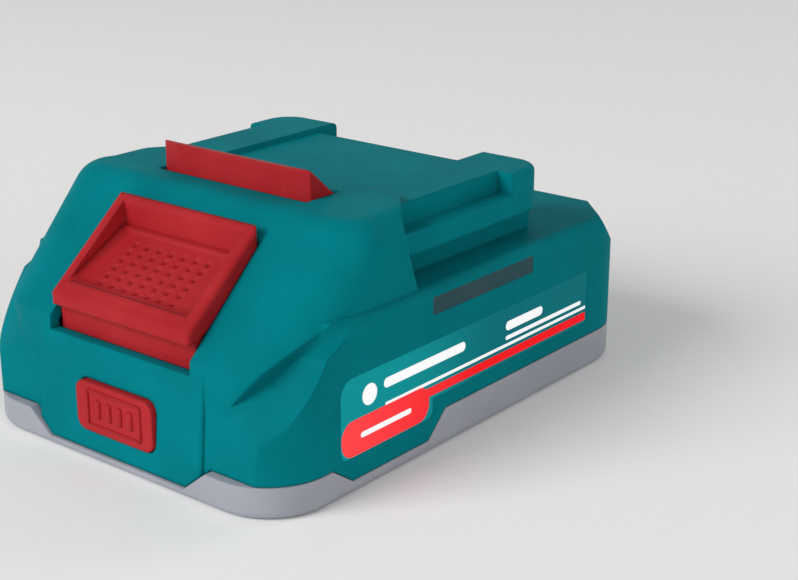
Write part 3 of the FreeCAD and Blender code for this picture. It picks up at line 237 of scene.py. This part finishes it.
# Printed side film, laid out in millimetres along the side (y) and up it (z): flat inks, with painted light added as
# a faint glow in the inks' own colours
labelPrint = {
    "ground": "#046870",
    "patch": "#088A8F",
    "red": "#F01820",
    "redLight": "#FF4448",
    "white": "#F6F8F8",
    # painted light: strength of the glow that brightens every ink of the film
    "paintedGlow": 0.3,
    "gloss": 0.03,
    "fade": (-24.0, 8.0),        # the patch colour fades out between these places along y
    "redFade": (-37.0, 0.0),     # and the light red turns to the deeper red between these
    "blur": 0.05,                # half width of an edge between two inks
    "grain": 0.6,                # size and depth of the film's own grain
    "depth": 0.01,
    "roughness": 0.45,
    "pill": {"y": (-37.4, -14.0), "z": (6.9, 13.4), "radius": 2.9},
    "redLine": {"y": (-20.0, 36.2), "z": (10.9, 12.6), "radius": 0.1},
    "whiteLine": {"y": (-26.0, 36.2), "z": (13.3, 13.9), "radius": 0.1},
    "bars": [
        {"y": (-32.0, -28.2), "z": (14.9, 18.7), "radius": 1.9},
        {"y": (-26.4, -3.5), "z": (16.5, 18.3), "radius": 0.9},
        {"y": (9.0, 21.0), "z": (16.4, 18.2), "radius": 0.9},
        {"y": (9.0, 34.5), "z": (14.6, 15.4), "radius": 0.4},
        {"y": (-32.5, -19.0), "z": (9.6, 10.6), "radius": 0.5},
    ],
}


# 1 inside a rounded rectangle, 0 outside: the distance to its core rectangle, compared with the corner radius
def roundedMask(tree, along, up, area, blur):
    low, high = np.array([area["y"][0], area["z"][0]]), np.array([area["y"][1], area["z"][1]])
    middle, half = (low + high) / 2 * mm, (high - low) / 2 * mm - area["radius"] * mm
    sides = []
    for source, centre, reach in ((along, middle[0], half[0]), (up, middle[1], half[1])):
        offset = addNode(tree, "Math", {"operation": "SUBTRACT", 1: centre}, {0: source})
        size = addNode(tree, "Math", {"operation": "ABSOLUTE"}, {0: offset.outputs[0]})
        over = addNode(tree, "Math", {"operation": "SUBTRACT", 1: reach}, {0: size.outputs[0]})
        sides.append(addNode(tree, "Math", {"operation": "MAXIMUM", 1: 0.0}, {0: over.outputs[0]}))
    joined = addNode(tree, "CombineXYZ", {}, {"X": sides[0].outputs[0], "Y": sides[1].outputs[0]})
    away = addNode(tree, "VectorMath", {"operation": "LENGTH"}, {0: joined.outputs[0]})
    edge, soft = area["radius"] * mm, blur * mm
    mask = addNode(tree, "MapRange", {"From Min": edge - soft, "From Max": edge + soft, "To Min": 1.0, "To Max": 0.0},
                   {"Value": away.outputs["Value"]})
    return mask.outputs["Result"]


def layInk(tree, under, mask, ink):
    mix = addNode(tree, "Mix", {"data_type": "RGBA"}, {"Factor": mask})
    tree.links.new(under, mix.inputs[6])
    if isinstance(ink, str):
        mix.inputs[7].default_value = linear(ink)
    else:
        tree.links.new(ink, mix.inputs[7])
    return mix.outputs[2]


def printedFilm(name, layout):
    material, tree = emptyMaterial(name)
    place = objectPlaces(tree)
    parts = addNode(tree, "SeparateXYZ", {}, {"Vector": place})
    along, up = parts.outputs["Y"], parts.outputs["Z"]
    fade = addNode(tree, "MapRange",
                   {"From Min": layout["fade"][0] * mm, "From Max": layout["fade"][1] * mm, "To Min": 1.0,
                    "To Max": 0.0, "interpolation_type": "SMOOTHSTEP"}, {"Value": along})
    ground = addNode(tree, "Mix", {"data_type": "RGBA"}, {"Factor": fade.outputs["Result"]})
    ground.inputs[6].default_value = linear(layout["ground"])
    ground.inputs[7].default_value = linear(layout["patch"])
    rise = addNode(tree, "MapRange", {"From Min": layout["redFade"][0] * mm, "From Max": layout["redFade"][1] * mm},
                   {"Value": along})
    red = addNode(tree, "Mix", {"data_type": "RGBA"}, {"Factor": rise.outputs["Result"]})
    red.inputs[6].default_value = linear(layout["redLight"])
    red.inputs[7].default_value = linear(layout["red"])
    inks = [(layout["whiteLine"], layout["white"])]
    inks += [(layout[line], red.outputs[2]) for line in ("redLine", "pill")]
    inks += [(bar, layout["white"]) for bar in layout["bars"]]
    colour = ground.outputs[2]
    for area, ink in inks:
        colour = layInk(tree, colour, roundedMask(tree, along, up, area, layout["blur"]), ink)
    speck = addNode(tree, "TexNoise", {"Scale": 1 / (layout["grain"] * mm), "Detail": 2.0}, {"Vector": place})
    bump = addNode(tree, "Bump", {"Strength": 0.3, "Distance": layout["depth"] * mm},
                   {"Height": speck.outputs["Fac"]})
    # The emission is painted light: the whole film glows a little in its own colours, though it is no lamp
    shader = addNode(tree, "BsdfPrincipled",
                     {"Roughness": layout["roughness"], "Specular IOR Level": layout["gloss"],
                      "Emission Strength": layout["paintedGlow"]},
                     {"Base Color": colour, "Emission Color": colour, "Normal": bump.outputs["Normal"]})
    finishMaterial(tree, shader)
    return material


# Dull dark print: a brown-grey haze over deep teal
ratingPrint = {
    "ground": "#0B4A52",
    "haze": "#3F4E53",
    "size": 2.2,
    "stretch": (1.0, 0.35, 1.0),
    "roughness": 0.5,
    "gloss": 0.06,
}


def darkFilm(name, values):
    material, tree = emptyMaterial(name)
    place = addNode(tree, "Mapping", {"Scale": values["stretch"]}, {"Vector": objectPlaces(tree)})
    haze = addNode(tree, "TexNoise", {"Scale": 1 / (values["size"] * mm), "Detail": 3.0},
                   {"Vector": place.outputs["Vector"]})
    mix = addNode(tree, "Mix", {"data_type": "RGBA"}, {"Factor": haze.outputs["Fac"]})
    mix.inputs[6].default_value = linear(values["ground"])
    mix.inputs[7].default_value = linear(values["haze"])
    shader = addNode(tree, "BsdfPrincipled",
                     {"Roughness": values["roughness"], "Specular IOR Level": values["gloss"]},
                     {"Base Color": mix.outputs[2]})
    finishMaterial(tree, shader)
    return material


materials = {name: mouldedPlastic(name, values) for name, values in plastics.items()}
materials.update({name: drawnMetal(name, values) for name, values in metals.items()})
materials.update({name: coating(name, values) for name, values in coatings.items()})
materials["sideFilm"] = printedFilm("sideFilm", labelPrint)
materials["ratingFilm"] = darkFilm("ratingFilm", ratingPrint)
slotLooks = {
    "teal_shell": "tealAbs", "grey_shell": "greyAbs", "red_plastic": "redNylon", "black_plastic": "blackNylon",
    "white_plastic": "whiteNylon", "spring_steel": "springSteel", "screw_steel": "blackedSteel",
    "nickel": "nickelStrip", "copper": "tinnedCopper", "circuit_board": "solderMask",
    "lamp_lens": "clearResin", "cable_skin": "cableFilm", "ceramic": "glazedCeramic", "foam": "cellFoam",
    "fish_paper": "pressedPaper", "cell_wrap": "shrinkWrap", "label_film": "sideFilm", "dark_film": "ratingFilm",
}
for part in frame["record"]["subparts"]:
    piece = nodes[part["node"]]
    look = materials[slotLooks[part["material_slot"]]]
    if not piece.data.materials:
        piece.data.materials.append(look)
    for index in range(len(piece.data.materials)):
        piece.data.materials[index] = look
print("materials made:", len(materials))


# Surfaces on a grid
def meshPiece(name, points, faces, body, slot, look):
    mesh = bpy.data.meshes.new(name)
    mesh.from_pydata(points.tolist(), [], faces)
    mesh.shade_smooth()
    piece = bpy.data.objects.new(name, mesh)
    bpy.context.scene.collection.objects.link(piece)
    mesh.materials.append(materials[look])
    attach(piece, body)
    return piece


# Quads of a rows by columns grid of points, numbered from start
def gridFaces(rows, columns, start=0):
    index = start + np.arange(rows * columns).reshape(rows, columns)
    return np.stack([index[:-1, :-1], index[1:, :-1], index[1:, 1:], index[:-1, 1:]], -1).reshape(-1, 4)


# Closed skin between two grids: both grids, the lower turned over, and a strip round the rim
def slab(upper, lower):
    rows, columns = upper.shape[:2]
    count = rows * columns
    top = gridFaces(rows, columns)
    bottom = gridFaces(rows, columns, count)[:, ::-1]
    index = np.arange(count).reshape(rows, columns)
    rim = np.concatenate([index[0, :-1], index[:-1, -1], index[-1, :0:-1], index[:0:-1, 0]])
    after = np.roll(rim, -1)
    side = np.stack([rim, after, after + count, rim + count], -1)
    points = np.concatenate([upper.reshape(-1, 3), lower.reshape(-1, 3)])
    return points, np.concatenate([top, bottom, side]).tolist()


# Finger dish: grip dimples sunk in the sloped floor
dish = {
    "halfWidth": 14.78,
    "foot": (-48.55, 28.95),     # y and z where the floor starts at the lip
    "head": (-35.25, 36.38),     # and where it meets the back wall
    "thickness": 0.5,
    "rows": 6,
    "columns": 7,
    "pitch": (3.0, 1.95),        # across, and up the slope
    "firstRow": 2.6,
    "dimple": (0.93, 0.42),      # radius and depth
    "fillet": (1.4, 1.1),        # reach from the wall and height
    "filletEnd": 0.98,           # squared share of its radius where the fillet stops, short of upright
    "lipReach": 2.6,             # how far up the slope the lip blends into the floor
    "overlap": 1.1,              # how far the skin runs on over the lip
    "dip": (0.5, 0.3),           # last stretch of the overlap and how deep it sinks into the lip
    "rim": (1.264, 0.195),       # height of the rim over the floor at the lip, and its gain up the slope
    "cover": 0.015,              # and the skin's height over that rim
    "sink": 0.05,                # how far the skin dips into the floor
    "grid": (83, 149),           # rows up the slope, columns across
}


# Height over the floor: a flat skin, less a smooth cup at each dimple, plus a round fillet along the walls,
# blended by half a cosine wave into the plane of the rim, which it follows a little way over the lip
def dishFloor(values):
    foot, head = np.array(values["foot"]), np.array(values["head"])
    run = np.linalg.norm(head - foot)
    along, up = (head - foot) / run, np.array([-(head - foot)[1], (head - foot)[0]]) / run
    rows, columns = values["grid"]
    half = values["halfWidth"]
    x, t = np.meshgrid(np.linspace(-half, half, columns), np.linspace(-values["overlap"], run, rows))
    height = np.full(x.shape, values["thickness"])
    radius, dimpleDepth = values["dimple"]
    for row in range(values["rows"]):
        for column in range(values["columns"]):
            cx = (column - (values["columns"] - 1) / 2) * values["pitch"][0]
            ct = values["firstRow"] + row * values["pitch"][1]
            away = np.clip(np.hypot(x - cx, t - ct) / radius, 0, 1)
            height -= dimpleDepth * (1 - away ** 2) ** 2
    reach, rise = values["fillet"]
    wall = np.clip(1 - np.minimum(half - np.abs(x), run - t) / reach, 0, 1)
    height += rise * (1 - np.sqrt(1 - values["filletEnd"] * wall ** 2))
    stretch, dipDepth = values["dip"]
    sunk = np.clip((stretch - values["overlap"] - t) / stretch, 0, 1)
    rim = values["rim"][0] + values["rim"][1] * t + values["cover"] - dipDepth * sunk ** 2
    blend = (1 + np.cos(np.pi * np.clip(t / values["lipReach"], 0, 1))) / 2
    height = np.minimum(height * (1 - blend) + rim * blend, rim)
    slopeY, slopeZ = foot[0] + along[0] * t, foot[1] + along[1] * t
    upper, lower = [np.stack([x, slopeY + up[0] * h, slopeZ + up[1] * h], -1) * mm
                    for h in (height, np.full(x.shape, -values["sink"]))]
    return slab(upper, lower)


meshPiece("dish_floor", *dishFloor(dish), "latch", "red_plastic", "redNylon")
print("finger dish made")


# Charge gauge pad: raised generic marks, four bars and a frame round them
gaugeMarks = {
    "face": -53.03,
    "height": 0.28,
    "sink": 0.06,
    "drawIn": 0.45,              # share of the half width that the dome draws in
    "squareness": 0.35,          # power of the superellipse, 1 is round
    "barWidth": 1.5,
    "barHeight": 3.6,
    "barPitch": 2.7,
    "bars": 4,
    "middle": (0.0, 10.2),
    "frame": (6.6, 3.2, 0.55),   # half width, half height, line width
    "turns": 48,                 # points round a mark
    "rings": 7,                  # rings from its foot to its crown
}


# Dome over a rounded bar: rings of a superellipse that draw in as a quarter circle rises, closed by two fans
def roundedBar(centre, halfSize, values):
    turns = np.linspace(0, 2 * np.pi, values["turns"] + 1)[:-1]
    rise = np.linspace(0, np.pi / 2, values["rings"])
    u, angle = np.meshgrid(turns, rise)
    inset = (1 - np.cos(angle)) * min(halfSize) * values["drawIn"]
    power = values["squareness"]
    x = centre[0] + (halfSize[0] - inset) * np.sign(np.cos(u)) * np.abs(np.cos(u)) ** power
    z = centre[1] + (halfSize[1] - inset) * np.sign(np.sin(u)) * np.abs(np.sin(u)) ** power
    y = values["face"] + values["sink"] - (values["height"] + values["sink"]) * np.sin(angle)
    rings = np.stack([x, y, z], -1) * mm
    rows, columns = rings.shape[:2]
    index = np.arange(rows * columns).reshape(rows, columns)
    after = np.roll(index, -1, 1)
    quads = np.stack([index[:-1], after[:-1], after[1:], index[1:]], -1).reshape(-1, 4)
    points = np.concatenate([rings.reshape(-1, 3), rings[:1].mean(1), rings[-1:].mean(1)])
    low, high = rows * columns, rows * columns + 1
    foot = np.stack([after[0], index[0], np.full(columns, low)], -1)
    crown = np.stack([index[-1], after[-1], np.full(columns, high)], -1)
    return points, quads.tolist() + foot.tolist() + crown.tolist()


def makeGaugeMarks(values):
    areas = []
    for number in range(values["bars"]):
        x = values["middle"][0] + (number - (values["bars"] - 1) / 2) * values["barPitch"]
        areas.append(((x, values["middle"][1]), (values["barWidth"] / 2, values["barHeight"] / 2)))
    halfWidth, halfHeight, line = values["frame"]
    cx, cz = values["middle"]
    for side in (-1, 1):
        areas.append(((cx, cz + side * halfHeight), (halfWidth, line / 2)))
        areas.append(((cx + side * halfWidth, cz), (line / 2, halfHeight)))
    for number, (centre, half) in enumerate(areas, 1):
        points, faces = roundedBar(centre, half, values)
        meshPiece(f"gauge_mark_{number}", points, faces, "gauge", "red_plastic", "redNylon")


makeGaugeMarks(gaugeMarks)
print("gauge marks made")


# Plain pale floor and soft studio light
studio = {
    "paper": "#FBFBFA",
    "paperGrain": 3.0,           # mm
    "paperDepth": 0.02,
    "floorHalf": 3.0,
    "skyLight": 0.33,
    "backdrop": 0.8,
    "lamps": {
        "keyLamp": {"place": (-0.5, -1.3, 0.8), "size": 0.9, "watts": 19.0},
        "sideLamp": {"place": (1.5, -0.4, 0.5), "size": 0.9, "watts": 5.5},
        "backLamp": {"place": (0.6, 1.4, 0.8), "size": 0.7, "watts": 4.0},
    },
}


# 1 for camera, glossy and transmission rays, so that polish and glass mirror the backdrop too
def cameraSees(tree):
    rays = addNode(tree, "LightPath")
    either = addNode(tree, "Math", {"operation": "MAXIMUM"},
                     {0: rays.outputs["Is Camera Ray"], 1: rays.outputs["Is Glossy Ray"]})
    return addNode(tree, "Math", {"operation": "MAXIMUM"},
                   {0: either.outputs[0], 1: rays.outputs["Is Transmission Ray"]}).outputs[0]


def makeStudio(values):
    world = bpy.data.worlds.new("studio")
    bpy.context.scene.world = world
    world.use_nodes = True
    tree = world.node_tree
    tree.nodes.clear()
    strength = addNode(tree, "MapRange", {"To Min": values["skyLight"], "To Max": values["backdrop"]},
                       {"Value": cameraSees(tree)})
    sky = addNode(tree, "Background", {"Color": linear("#FFFFFF")}, {"Strength": strength.outputs["Result"]})
    output = addNode(tree, "OutputWorld")
    tree.links.new(sky.outputs[0], output.inputs["Surface"])
    half = values["floorHalf"]
    mesh = bpy.data.meshes.new("floor")
    mesh.from_pydata([(-half, -half, 0), (half, -half, 0), (half, half, 0), (-half, half, 0)], [], [(0, 1, 2, 3)])
    floor = bpy.data.objects.new("floor", mesh)
    bpy.context.scene.collection.objects.link(floor)
    paper, paperTree = emptyMaterial("paper")
    grain = addNode(paperTree, "TexNoise", {"Scale": 1 / (values["paperGrain"] * mm)},
                    {"Vector": objectPlaces(paperTree)})
    bump = addNode(paperTree, "Bump", {"Strength": 0.1, "Distance": values["paperDepth"] * mm},
                   {"Height": grain.outputs["Fac"]})
    sheet = addNode(paperTree, "BsdfPrincipled", {"Base Color": linear(values["paper"]), "Roughness": 0.9},
                    {"Normal": bump.outputs["Normal"]})
    finishMaterial(paperTree, sheet)
    mesh.materials.append(paper)
    for name, lamp in values["lamps"].items():
        data = bpy.data.lights.new(name, "AREA")
        data.size = lamp["size"]
        data.energy = lamp["watts"]
        light = bpy.data.objects.new(name, data)
        light.location = lamp["place"]
        light.rotation_euler = (-Vector(lamp["place"])).to_track_quat("-Z", "Y").to_euler()
        bpy.context.scene.collection.objects.link(light)


makeStudio(studio)
bpy.context.scene.view_settings.view_transform = "Standard"
print("studio made")
